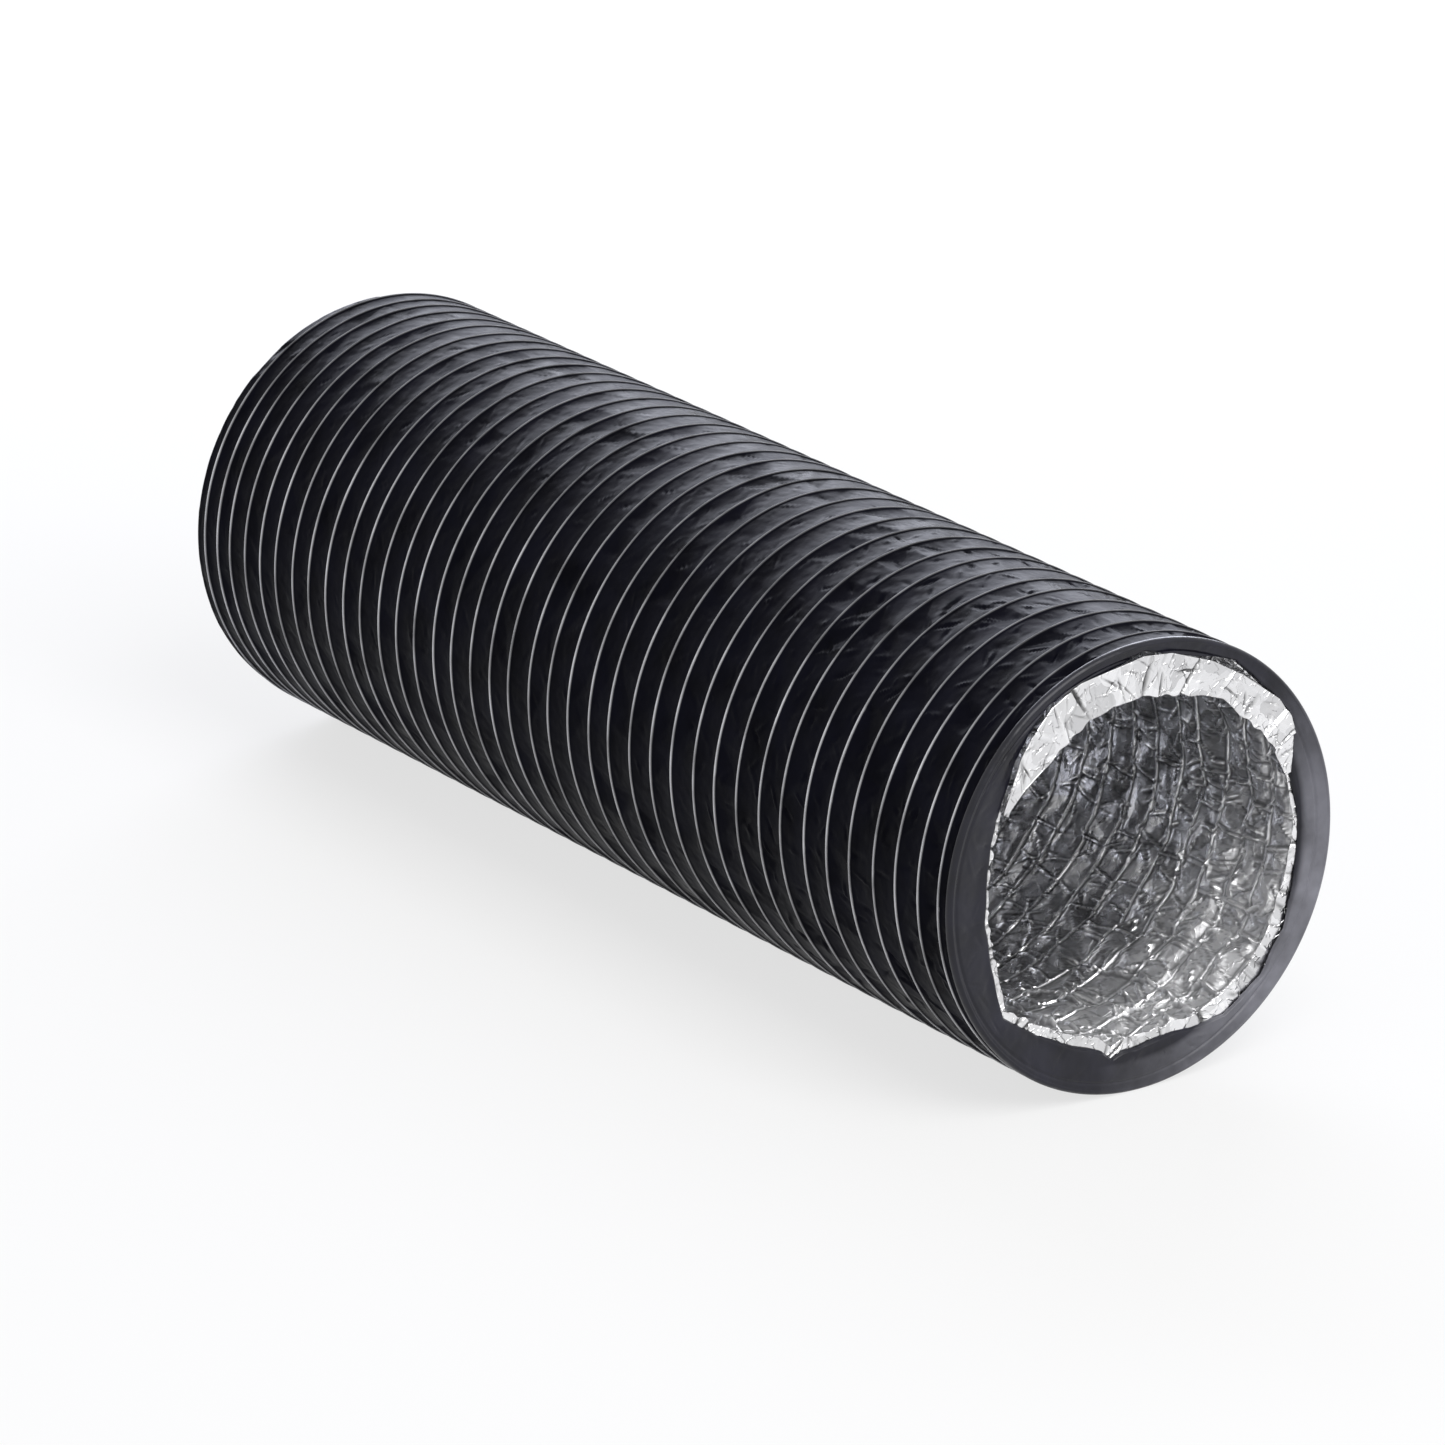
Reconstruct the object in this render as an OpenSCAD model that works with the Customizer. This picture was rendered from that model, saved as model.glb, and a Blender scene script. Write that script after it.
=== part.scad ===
// Flexible air duct, 152 mm (6 inch) nominal, lying on its side.
// A spring-steel wire is wound into a helix between a foil liner and a black film sleeve.
// The duct lies along X with its open end at +X and rests on z = 0.
// It is divided along its length into sections of whole turns, so that it can stretch and bend.

/* [Liner] */
// Inside diameter of the foil liner
liner_bore = 154; // [120:1:200]
// Thickness of the foil liner
liner_wall = 0.3; // [0.2:0.05:0.6]

/* [Outer film] */
// Thickness of the outer film
film_wall = 0.7; // [0.65:0.05:1.0]
// Depth of the flat that the film rests on
rest_flat = 0.5; // [0.3:0.05:0.55]

/* [Wire] */
// Diameter of the spring wire
wire_d = 1.2; // [1.0:0.1:1.6]
// Clearance between the wire and the liner, and between the wire and the film
wire_gap = 0.15; // [0.1:0.05:0.3]
// Distance from one turn to the next at mid length
mid_pitch = 12.35; // [10:0.05:16]
// How much wider the turns lie at the open end than at the rear, as a share of the pitch
open_out = 0.22; // [0:0.01:0.3]
// How much closer the turns are gathered at the rear end
rear_gather = 0.35; // [0:0.01:0.4]
// How much closer the turns are gathered behind the open end
front_gather = 0.45; // [0:0.01:0.5]
// Unevenness of the hand-pulled turns, as a share of the pitch
unevenness = 0.07; // [0:0.01:0.1]

/* [Sections] */
// Turns of wire in each section
section_turns = 3; // [2:1:4]

/* [Ends] */
// Distance from each end of the duct to the middle of the last turn
end_margin = 3; // [2.5:0.1:5]
// Width of the film turned in at the open end
hem_width = 13.5; // [10:0.5:25]
// Thickness of the turned-in film
hem_wall = 0.5; // [0.4:0.05:0.8]
// Width of film that is left above the foil flap
hem_top_width = 4; // [3:0.5:8]
// How far the foil edge shows inside the turned-in film
foil_edge_show = 2.5; // [1:0.5:6]
// Thickness of the foil at the open end
foil_wall = 0.3; // [0.2:0.05:0.5]
// Clearance between the turned-in film and the foil behind it
foil_gap = 0.2; // [0.1:0.05:0.4]
// Width of the foil flap at the top of the open end
flap_width = 14; // [8:0.5:20]
// Where the foil flap starts, in degrees above the horizontal on the far side
flap_start = 30; // [0:1:40]
// Where the foil flap ends, in degrees from the same line
flap_end = 152; // [120:1:175]
// Length of the film cuff tucked inside the rear end
cuff_len = 20; // [10:1:30]
// Thickness of the film of the rear cuff
cuff_wall = 0.5; // [0.3:0.05:0.8]
// Clearance between the rear cuff and the liner
cuff_gap = 0.25; // [0.2:0.05:0.5]

/* [Hidden] */
SECTIONS = 13;
$fn = 96;
WIRE_FN = 24;
// How much thinner a lower half turn is, and how many degrees it laps into the upper ones
HAIR = 0.02;
LAP = 0.4;
// Places along the duct are kept to this step, so that the sections meet face to face
X_STEP = 0.01;

// Number of corners on the arc of a wedge that cuts the open end's pieces
WEDGE_CORNERS = 6;
// How far a cutting shape runs past what it cuts
OVERCUT = 1;

// Radii, from the liner outwards
liner_in_r = liner_bore / 2;
liner_out_r = liner_in_r + liner_wall;
wind_r = liner_out_r + wire_gap + wire_d / 2;
film_in_r = wind_r + wire_d / 2 + wire_gap;
film_out_r = film_in_r + film_wall;
axis_z = film_out_r - rest_flat;
// Longer than the duct's radius, for shapes that cut right across it
far = 2 * film_out_r;

// Turns over which the gathers at the rear and at the front die away, and the unevenness's angle a turn
REAR_DECAY = 2.5;
FRONT_DECAY = 1.2;
UNEVEN_ANGLE = 137;

// Places of the wire along the duct, one for each half turn
turns = SECTIONS * section_turns;
function pitch_at(t) = mid_pitch * (1 + open_out * (t / turns - 0.5)
    - rear_gather * exp(-t / REAR_DECAY)
    - front_gather * exp((t - turns) / FRONT_DECAY)
    + unevenness * sin(UNEVEN_ANGLE * t));
half_steps = [for (i = [0 : 2 * turns - 1]) pitch_at((i + 0.5) / 2) / 2];
function run_to(i) = i <= 0 ? 0 : half_steps[i - 1] + run_to(i - 1);
function stepped(x) = X_STEP * round(x / X_STEP);
front_x = stepped(run_to(2 * turns) / 2 + end_margin);
rear_x = -front_x;
duct_len = front_x - rear_x;
wire_x = [for (i = [0 : 2 * turns]) stepped(rear_x + end_margin + run_to(i))];

// Ends
hem_in_r = film_out_r - hem_width;
foil_edge_in_r = hem_in_r - foil_edge_show;
flap_out_r = film_out_r - hem_top_width;
// Angle by which each end of the flap clears the hem
flap_inset = atan2(foil_gap, flap_out_r - flap_width);
cuff_out_r = liner_in_r - cuff_gap;
cuff_in_r = cuff_out_r - cuff_wall;
hem_x = front_x - hem_wall;
foil_edge_x = hem_x - foil_gap - foil_wall;

// Least gap of the wire to itself, measured between points one turn apart
POINTS = 12;
function arc_point(i, a) = let (
        side = i % 2 == 0 ? 1 : -1,
        step = wire_x[i + 1] - wire_x[i]
    ) [
        wire_x[i] + step * (1 - cos(a)) / 2,
        side * wind_r * cos(a),
        side * wind_r * sin(a)
    ];
turn_gaps = [for (i = [0 : 2 * turns - 3]) for (j = [0 : POINTS])
    norm(arc_point(i + 2, 180 * j / POINTS) - arc_point(i, 180 * j / POINTS)) - wire_d];
echo(least_gap_of_the_wire_to_itself = min(turn_gaps));
echo(duct_len = duct_len, axis_z = axis_z, wind_r = wind_r, film_out_r = film_out_r);
echo(section_ends = [for (k = [0 : SECTIONS]) wire_x[2 * section_turns * k]]);

// All that would lie below the surface that the duct rests on
module below_rest() {
    translate([-duct_len, -far, -far]) cube([2 * duct_len, 2 * far, far]);
}

// One half turn of a round strand of radius r, from one side of the duct over to the other.
// An upper half turn is whole. A lower one is a hair thinner and laps into the upper ones.
module half_turn(i, r, lap_end) {
    upper = i % 2 == 0;
    side = upper ? 1 : -1;
    step = wire_x[i + 1] - wire_x[i];
    arc_r = norm([step, 2 * wind_r]) / 2;
    start_a = upper ? 0 : -LAP;
    end_a = upper || !lap_end ? 180 : 180 + LAP;
    translate([(wire_x[i] + wire_x[i + 1]) / 2, 0, axis_z])
        rotate([0, 0, atan2(-2 * side * wind_r, step)])
            rotate([90, upper ? 0 : 180, 0])
                rotate([0, 0, start_a])
                    rotate_extrude(angle = end_a - start_a)
                        translate([arc_r, 0])
                            circle(r = upper ? r : r - HAIR, $fn = WIRE_FN);
}

// The half turns of section k, joined end to end
function first_half(k) = 2 * section_turns * (k - 1);
function last_half(k) = 2 * section_turns * k - 1;
module strand(k, r) {
    for (i = [first_half(k) : last_half(k)]) half_turn(i, r, i < last_half(k));
}

// A sleeve between two radii along X
module sleeve(r_in, r_out, x0, x1) {
    translate([x0, 0, axis_z])
        rotate([0, 90, 0])
            difference() {
                cylinder(r = r_out, h = x1 - x0);
                translate([0, 0, -OVERCUT]) cylinder(r = r_in, h = x1 - x0 + 2 * OVERCUT);
            }
}

// Where section k ends along X. The first section starts at the rear cuff's face, and the last one ends
// behind the foil edge.
function edge_x(k) = k == 0 ? rear_x + cuff_wall
    : k == SECTIONS ? foil_edge_x - foil_gap
    : wire_x[2 * section_turns * k];

// The sleeve of section k
module section_sleeve(k, r_in, r_out) {
    sleeve(r_in, r_out, edge_x(k - 1), edge_x(k));
}

// Outer film of section k, with the flat that it rests on
module outer_film(k) {
    color([0.06, 0.06, 0.065]) difference() {
        section_sleeve(k, film_in_r, film_out_r);
        below_rest();
    }
}

// Spring wire of section k
module spring_wire(k) {
    color([0.62, 0.62, 0.64]) strand(k, wire_d / 2);
}

// Foil liner of section k
module foil_liner(k) {
    color([0.78, 0.78, 0.8]) section_sleeve(k, liner_in_r, liner_out_r);
}

// A wedge of the open end's face, from angle a0 to a1 in the YZ plane
module face_wedge(a0, a1) {
    translate([front_x - end_margin, 0, axis_z])
        rotate([90, 0, 90])
            linear_extrude(2 * end_margin)
                polygon(concat([[0, 0]], [for (j = [0 : WEDGE_CORNERS])
                    let (a = a0 + (a1 - a0) * j / WEDGE_CORNERS) far * [cos(a), sin(a)]]));
}

// Film turned in at the open end, cut back at the top under the foil flap
module front_film_hem() {
    color([0.05, 0.05, 0.055]) difference() {
        sleeve(hem_in_r, film_out_r, hem_x, front_x);
        intersection() {
            sleeve(hem_in_r - OVERCUT, flap_out_r, hem_x - OVERCUT, front_x + OVERCUT);
            face_wedge(flap_start, flap_end);
        }
        below_rest();
    }
}

// Foil that shows inside the edge of the turned-in film
module front_foil_edge() {
    color([0.8, 0.8, 0.82]) sleeve(foil_edge_in_r, liner_out_r, foil_edge_x, foil_edge_x + foil_wall);
}

// Foil flap folded out at the top of the open end
module front_foil_flap() {
    color([0.85, 0.85, 0.87]) intersection() {
        sleeve(flap_out_r - flap_width, flap_out_r - foil_gap, hem_x, hem_x + foil_wall);
        face_wedge(flap_start + flap_inset, flap_end - flap_inset);
    }
}

// Film folded round the rear edge and tucked inside the liner
module rear_film_cuff() {
    color([0.05, 0.05, 0.055]) difference() {
        union() {
            sleeve(cuff_in_r, cuff_out_r, rear_x, rear_x + cuff_len);
            sleeve(cuff_in_r, film_out_r, rear_x, rear_x + cuff_wall);
        }
        below_rest();
    }
}

for (k = [1 : SECTIONS]) outer_film(k);
for (k = [1 : SECTIONS]) spring_wire(k);
for (k = [1 : SECTIONS]) foil_liner(k);
front_film_hem();
front_foil_edge();
front_foil_flap();
rear_film_cuff();
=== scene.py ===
import math

import bpy
import numpy as np
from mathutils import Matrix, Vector


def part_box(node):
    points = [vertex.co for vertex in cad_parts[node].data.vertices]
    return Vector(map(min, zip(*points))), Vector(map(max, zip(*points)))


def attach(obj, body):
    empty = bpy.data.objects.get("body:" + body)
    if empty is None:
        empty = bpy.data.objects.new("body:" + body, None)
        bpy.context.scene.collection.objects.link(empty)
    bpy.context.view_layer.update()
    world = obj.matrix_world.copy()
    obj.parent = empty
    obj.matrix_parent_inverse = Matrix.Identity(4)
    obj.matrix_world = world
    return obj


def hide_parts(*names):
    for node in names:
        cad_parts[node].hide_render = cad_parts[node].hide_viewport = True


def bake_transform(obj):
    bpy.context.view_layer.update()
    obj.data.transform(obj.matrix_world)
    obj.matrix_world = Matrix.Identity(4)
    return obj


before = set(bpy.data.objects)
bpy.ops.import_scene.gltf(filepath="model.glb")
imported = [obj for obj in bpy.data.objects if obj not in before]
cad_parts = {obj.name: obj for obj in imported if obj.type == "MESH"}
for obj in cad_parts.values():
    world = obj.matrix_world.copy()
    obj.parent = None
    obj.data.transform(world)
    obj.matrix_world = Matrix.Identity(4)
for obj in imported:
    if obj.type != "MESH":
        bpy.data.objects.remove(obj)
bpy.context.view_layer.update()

# ------------ camera
# The duct lies along X on the floor, open end towards the viewer, seen from in front and a little above.
# A long lens at a distance of 42 duct radii keeps the two ends nearly the same size.
CAMERA_AZIMUTH = math.radians(55.4)
CAMERA_ELEVATION = math.radians(19.8)
CAMERA_DISTANCE_RADII = 42.3
CAMERA_LENS_MM = 237.87
AIM_X_RADII = -0.134
AIM_DROP_RADII = 0.27

hem_low, hem_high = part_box("front_film_hem")
CREST_R = (hem_high.y - hem_low.y) / 2
AXIS_Z = hem_high.z - CREST_R
REAR_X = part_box("rear_film_cuff")[0].x
FRONT_X = hem_high.x

aim = Vector((AIM_X_RADII * CREST_R, 0, AXIS_Z - AIM_DROP_RADII * CREST_R))
toward_camera = Vector((
    math.sin(CAMERA_AZIMUTH) * math.cos(CAMERA_ELEVATION),
    -math.cos(CAMERA_AZIMUTH) * math.cos(CAMERA_ELEVATION),
    math.sin(CAMERA_ELEVATION),
))
camera = bpy.data.objects.new("camera", bpy.data.cameras.new("camera"))
camera.data.lens = CAMERA_LENS_MM
camera.location = aim + CAMERA_DISTANCE_RADII * CREST_R * toward_camera
camera.rotation_euler = toward_camera.to_track_quat("Z", "Y").to_euler()
bpy.context.scene.collection.objects.link(camera)
bpy.context.scene.camera = camera
bpy.context.scene.view_settings.view_transform = "Standard"

# ------------ studio
# A plain white floor and background. A wide cool soft box behind the duct gives its film a grey sheen, one
# over the open end and one in front of it light the hem and the foil, and the sky is a weak fill.
SKY_FILL = 0.36
FLOOR_SIZE = 40.0
FLOOR_DROP = 0.0002
FLOOR_COLOUR = (0.82, 0.82, 0.82, 1)
FLOOR_GLOW = 0.72
WHITE = (1, 1, 1, 1)
# Direction from the duct, distance, width and height, radiance and colour of each soft box
SOFT_BOXES = {
    "sheen_soft_box": ((-0.75, 0.42, 0.37), 2.6, (2.4, 1.5), 6.9, (0.84, 0.87, 1.0)),
    "top_soft_box": ((0.75, -0.08, 0.9), 2.4, (1.5, 1.5), 4.9, (1, 1, 1)),
    "front_soft_box": ((0.85, 0.15, 0.45), 2.6, (1.2, 1.2), 2.4, (1, 1, 1)),
}


def add_node(tree, kind, inputs=None, **settings):
    """A shader node with its settings. Each of the given inputs is set to a value, or linked to an output or
    to the first output of a node."""
    node = tree.nodes.new("ShaderNode" + kind)
    for key, value in settings.items():
        setattr(node, key, value)
    for key, value in (inputs or {}).items():
        if isinstance(value, bpy.types.Node):
            value = value.outputs[0]
        if isinstance(value, bpy.types.NodeSocket):
            tree.links.new(value, node.inputs[key])
        else:
            node.inputs[key].default_value = value
    return node


def remap(tree, value, low_high, to_low_high, **settings):
    """The value mapped linearly from one (low, high) to the other, and held within the second."""
    return add_node(tree, "MapRange", {"Value": value, "From Min": low_high[0], "From Max": low_high[1],
                                       "To Min": to_low_high[0], "To Max": to_low_high[1]}, **settings)


def new_material(name):
    """A material, and its node tree with nothing in it but the output."""
    material = bpy.data.materials.new(name)
    material.use_nodes = True
    material.node_tree.nodes.remove(material.node_tree.nodes["Principled BSDF"])
    return material, material.node_tree


def set_surface(tree, shader):
    """Makes this shader the material's surface."""
    tree.links.new(shader.outputs[0], tree.nodes["Material Output"].inputs["Surface"])


def shows_background(tree):
    """1 for a ray that shows the background or its mirror image, 0 for a ray that lights the object."""
    path = add_node(tree, "LightPath").outputs
    seen = path["Is Camera Ray"]
    for kind in ("Is Glossy Ray", "Is Transmission Ray"):
        seen = add_node(tree, "Math", {0: seen, 1: path[kind]}, operation="MAXIMUM").outputs[0]
    return seen


world = bpy.data.worlds.new("studio_sky")
world.use_nodes = True
bpy.context.scene.world = world
sky_tree = world.node_tree
sky = sky_tree.nodes["Background"]
sky.inputs["Color"].default_value = WHITE
sky_strength = remap(sky_tree, shows_background(sky_tree), (0, 1), (SKY_FILL, 1))
sky_tree.links.new(sky_strength.outputs["Result"], sky.inputs["Strength"])

floor_material, floor_tree = new_material("studio_floor")
floor_paint = add_node(floor_tree, "BsdfDiffuse", {"Color": FLOOR_COLOUR})
floor_glow = add_node(floor_tree, "Emission", {"Color": WHITE})
glow_share = add_node(floor_tree, "Math", {0: shows_background(floor_tree), 1: FLOOR_GLOW},
                      operation="MULTIPLY")
set_surface(floor_tree, add_node(floor_tree, "MixShader",
                                 {"Fac": glow_share, 1: floor_paint, 2: floor_glow}))

bpy.ops.mesh.primitive_plane_add(size=FLOOR_SIZE, location=(0, 0, -FLOOR_DROP))
floor = bpy.context.object
floor.name = "studio_floor"
floor.data.materials.append(floor_material)


def soft_box(name, direction, distance, size, radiance, colour):
    """A rectangular lamp that faces the duct: its power is radiance times pi times its area."""
    lamp = bpy.data.lights.new(name, "AREA")
    lamp.color = colour
    lamp.shape = "RECTANGLE"
    lamp.size, lamp.size_y = size
    lamp.energy = radiance * math.pi * size[0] * size[1]
    obj = bpy.data.objects.new(name, lamp)
    away = Vector(direction).normalized()
    obj.location = Vector((0, 0, AXIS_Z)) + distance * away
    obj.rotation_euler = away.to_track_quat("Z", "Y").to_euler()
    bpy.context.scene.collection.objects.link(obj)


for name, settings in SOFT_BOXES.items():
    soft_box(name, *settings)

# ------------ foil lining
# The lining is a strip of aluminium and polyester laminate, wound into a tube with its edges lapped and
# glued under each turn of the wire. Where the duct is pushed together, each band between two turns crumples
# into sharp little tents, and the laps stay as a helical ridge.
TURNS = 39
MID_PITCH = 0.01235
OPEN_OUT = 0.22
REAR_GATHER = 0.35
FRONT_GATHER = 0.45
UNEVENNESS = 0.07
# Turns over which the two gathers die away, and the unevenness's degrees to a turn
REAR_DECAY = 2.5
FRONT_DECAY = 1.2
UNEVEN_ANGLE = 137
END_MARGIN = 0.003
# Steps to a turn in which the pitch is added up, and the turns past each end
LAW_STEPS = 32
LAW_SPARE = 2
# Turns past each end that random places are drawn for, and their stray as a share of their spacing
SPARE_TURNS = 3
STRAY = 0.4
FOLD_STRAY = 0.45
NEIGHBOURS = (-1, 0, 1, 2)
LINING_SEED = 11
LINING_OUTER_R = 0.0759
LINING_BAND_R = 0.0756
LINING_RIDGE_R = 0.0748
RIDGE_FRONT_WIDTH = 0.0008
RIDGE_REAR_WIDTH = 0.0012
# How far the ridge strays from the wire, in turns, how uneven its height is, and the kinks to a turn of both
RIDGE_SWAY = 0.085
SWAY_KINKS = 30
RIDGE_HEIGHTS = (0.5, 1.2)
RIDGE_KINKS = 52
# Columns of the pieces that are seen through the open end, and of the ones deeper in
LINING_COLUMNS = 720
DEEP_COLUMNS = 300
FIRST_SEEN = 8
LINING_ROWS = (0, 0.02, 0.04, 0.065, 0.10, 0.16, 0.23, 0.31, 0.39, 0.48, 0.57, 0.66, 0.75, 0.83, 0.90, 0.945,
               0.975)
# Panels that reach from ridge to ridge, and small tents on them, as (corners to a turn, height). The nudge
# keeps the last corners of the tents' net inside its last cells.
PANELS = (46, 0.0028)
TENTS = (84, 0.0015)
TENT_ROWS = 2
TENT_SWAY = 0.2
NUDGE = 0.001
# Layers of folds, as their number to a turn, then the bounds of each fold's start across the ribbon, lean,
# length, half width and height. The stars are three layers, with their starts in different parts.
CROSS_FOLDS = (31, (0.005, 0.008), (-0.35, 0.35), (0.007, 0.014), (0.0007, 0.0012), (0.0002, 0.0018))
STARS_PER_TURN = 47
STAR_STARTS = ((0, 0.004), (0.008, 0.0124), (0, 0.0124))
STAR_FOLDS = ((-1.4, 1.4), (0.003, 0.008), (0.0006, 0.0012), (-0.0008, 0.0018))
# Lengths over which the relief fades out at the two ends
SMOOTH_FRONT = 0.010
SMOOTH_REAR = 0.024
REAR_FADE = 0.012
# How far in the open end was handled, and the lengths over which the relief and the tone change to there
HANDLED_REACH = 0.10
RELIEF_FADE = 0.07
TONE_FADE = 0.08
# Share of the relief's height deep inside, and what is added to it near the open end and at its bottom
PUFF_SHARES = (0.8, 0.4, 0.4)
SHARP_SHARES = (0.9, 1.1)
# Painted highlight and shade: tone for each metre of rise over the points around, their distance, and the
# bounds of that tone
CREST_PAINTED_LIGHT_SHARE = 5000.0
CREST_REACH = 0.0006
CREST_BOUNDS = (-0.21, 0.45)
# Painted light added to the tone, and to the rise's share in it, along the bottom of the open end and
# overhead
MOUTH_PAINTED_LIGHT = 0.6
OVERHEAD_PAINTED_LIGHT = 0.07
MOUTH_PAINTED_GAIN = 1.2
OVERHEAD_PAINTED_GAIN = 0.7


def pitch_at(turn):
    """Pitch = mid pitch times (1 + steady opening - gathers at the rear and front + unevenness)."""
    turn = np.clip(turn, 0, TURNS)
    return MID_PITCH * (1 + OPEN_OUT * (turn / TURNS - 0.5)
                        - REAR_GATHER * np.exp(-turn / REAR_DECAY)
                        - FRONT_GATHER * np.exp((turn - TURNS) / FRONT_DECAY)
                        + UNEVENNESS * np.sin(np.radians(UNEVEN_ANGLE * turn)))


law_turns = np.linspace(-LAW_SPARE, TURNS + LAW_SPARE, (TURNS + 2 * LAW_SPARE) * LAW_STEPS + 1)
law_run = np.concatenate([[0], np.cumsum(pitch_at((law_turns[1:] + law_turns[:-1]) / 2) / LAW_STEPS)])
law_start, law_end = np.interp([0, TURNS], law_turns, law_run)
law_scale = (FRONT_X - REAR_X - 2 * END_MARGIN) / (law_end - law_start)
law_x = REAR_X + END_MARGIN + (law_run - law_start) * law_scale


def wire_x(turn):
    """Place along X of the wire after so many turns: the running sum of the pitch."""
    return np.interp(turn, law_turns, law_x)


def turn_at(x):
    """The inverse of wire_x."""
    return np.interp(x, law_x, law_turns)


def net_places(per_turn, seed, stray=STRAY):
    """A seeded source of random numbers, and uneven places along the ribbon, so many to a turn."""
    draw = np.random.default_rng(seed)
    count = (TURNS + 2 * SPARE_TURNS) * per_turn
    return draw, (np.arange(count) + draw.uniform(-stray, stray, count)) / per_turn - SPARE_TURNS


def kinked(laid, per_turn, seed, low, high):
    """Straight lines between random values at uneven places along the ribbon, so many to a turn."""
    place = net_places(per_turn, seed)[1]
    return np.interp(laid, place, np.random.default_rng([seed, 0]).uniform(low, high, len(place)))


def ridge_sway(laid):
    """How far the lining's ridge strays from the wire, in turns: straight runs with a kink at each fold,
    which fade out towards both ends."""
    inside = np.clip(np.minimum(laid - 1, TURNS - 1.5 - laid), 0, 1)
    return RIDGE_SWAY * inside * kinked(laid, SWAY_KINKS, LINING_SEED + 5, -1, 1)


def ribbon_at(x, angle, sway=np.zeros_like):
    """Where a point of the wound tube lies on its ribbon: the turn at which the ribbon was laid there, which
    runs on from turn to turn, its share of the way across from one ridge to the next, and the distance along
    X to the nearest ridge."""
    share = angle / (2 * np.pi)
    wound = turn_at(x) - share
    near = np.rint(wound)
    before = near - (wound < near + sway(near + share))
    low, high = before + sway(before + share), before + 1 + sway(before + 1 + share)
    across = (wound - low) / (high - low)
    nearest = np.clip(before + (across > 0.5), 0, TURNS - 1) + share
    return before + share, across, x - wire_x(nearest + sway(nearest))


def folds(laid, v, seed, per_turn, start, lean, length, half_width, height):
    """Sharp straight folds at uneven places along a ribbon, drawn at random between the given bounds and
    added up: height times (1 - distance aside / half width) times (1 - distance along / length)."""
    draw, place = net_places(per_turn, seed, FOLD_STRAY)
    count = len(place)
    start, lean, length, half_width, height = (
        draw.uniform(low, high, count) for low, high in (start, lean, length, half_width, height))
    first = np.floor((laid + SPARE_TURNS) * per_turn).astype(int)
    total = np.zeros_like(laid)
    for step in NEIGHBOURS:
        i = np.clip(first + step, 0, count - 1)
        du, dv = (laid - place[i]) * 2 * np.pi * LINING_OUTER_R, v - start[i]
        along = du * np.sin(lean[i]) + dv * np.cos(lean[i])
        aside = du * np.cos(lean[i]) - dv * np.sin(lean[i])
        total += height[i] * (np.clip(1 - np.abs(aside) / half_width[i], 0, 1)
                              * np.clip(1 - np.abs(along) / length[i], 0, 1))
    return total


def ease(value):
    """0 below 0, 1 above 1, and a smooth step between."""
    value = np.clip(value, 0, 1)
    return value * value * (3 - 2 * value)


def creased(fu, fv, here, along, aside, beyond, flipped):
    """Two flat triangles between the heights at a cell's four corners, with a crease along one diagonal or,
    where flipped, along the other."""
    near = here + fu * (along - here) + fv * (aside - here)
    far = beyond + (1 - fu) * (aside - beyond) + (1 - fv) * (along - beyond)
    upper = here + fu * (beyond - aside) + fv * (aside - here)
    lower = here + fu * (along - here) + fv * (beyond - along)
    return np.where(flipped, np.where(fu + fv < 1, near, far), np.where(fu < fv, upper, lower))


def panels(laid, across, per_turn, seed):
    """Creased panels as wide as the ribbon: height = flat triangles between random heights at uneven corners
    along its two ridges. A ridge's corners serve the ribbon on both of its sides."""
    draw, place = net_places(per_turn, seed)
    count = len(place)
    height, flipped = draw.uniform(0, 1, count), draw.uniform(0, 1, count) < 0.5
    rear = np.interp(laid, place, np.arange(count))
    front = np.interp(laid + 1, place, np.arange(count)) - per_turn
    u = np.clip(rear + across * (front - rear), 0, count - per_turn - 2)
    i = u.astype(int)
    return creased(u - i, across, height[i], height[i + 1], height[i + per_turn], height[i + 1 + per_turn],
                   flipped[i])


def tents(laid, across, per_turn, seed):
    """Small creased tents: height = flat triangles between random heights at the corners of an uneven net,
    with 0 along the ribbon's two ridges."""
    draw, place = net_places(per_turn, seed)
    count = len(place)
    height = np.zeros((count, TENT_ROWS + 2))
    height[:, 1:-1] = draw.uniform(0, 1, (count, TENT_ROWS))
    flipped = draw.uniform(0, 1, (count, TENT_ROWS + 1)) < 0.5
    u = np.clip(np.interp(laid, place, np.arange(count)), 0, count - 1 - NUDGE)
    middle = 0.5 + TENT_SWAY * kinked(laid, per_turn, seed + 7, -1, 1)
    v = np.where(across < middle, across / middle, 1 + (across - middle) / (1 - middle)) / 2
    v = np.clip(v * (TENT_ROWS + 1), 0, TENT_ROWS + 1 - NUDGE)
    i, j = u.astype(int), v.astype(int)
    return creased(u - i, v - j, height[i, j], height[i + 1, j], height[i, j + 1], height[i + 1, j + 1],
                   flipped[i, j])


def lining_relief(x, angle):
    """Height of the ridge, which is steep at its front and shallow at its rear, of the panels and tents, and
    of the sharp folds: long ones across the band and short ones in a star from their ends."""
    laid, across, off = ribbon_at(x, angle, ridge_sway)
    ridge = np.clip(1 - np.abs(off) / np.where(off > 0, RIDGE_FRONT_WIDTH, RIDGE_REAR_WIDTH), 0, 1)
    ridge *= kinked(laid + np.rint(across), RIDGE_KINKS, LINING_SEED + 6, *RIDGE_HEIGHTS)
    puffed = PANELS[1] * panels(laid, across, PANELS[0], LINING_SEED)
    puffed += TENTS[1] * tents(laid, across, TENTS[0], LINING_SEED + 20)
    v = across * MID_PITCH
    sharp = folds(laid, v, LINING_SEED, *CROSS_FOLDS)
    for layer, start in enumerate(STAR_STARTS):
        sharp += folds(laid, v, LINING_SEED + 2 + layer, STARS_PER_TURN, start, *STAR_FOLDS)
    return ridge, puffed, sharp


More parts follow.
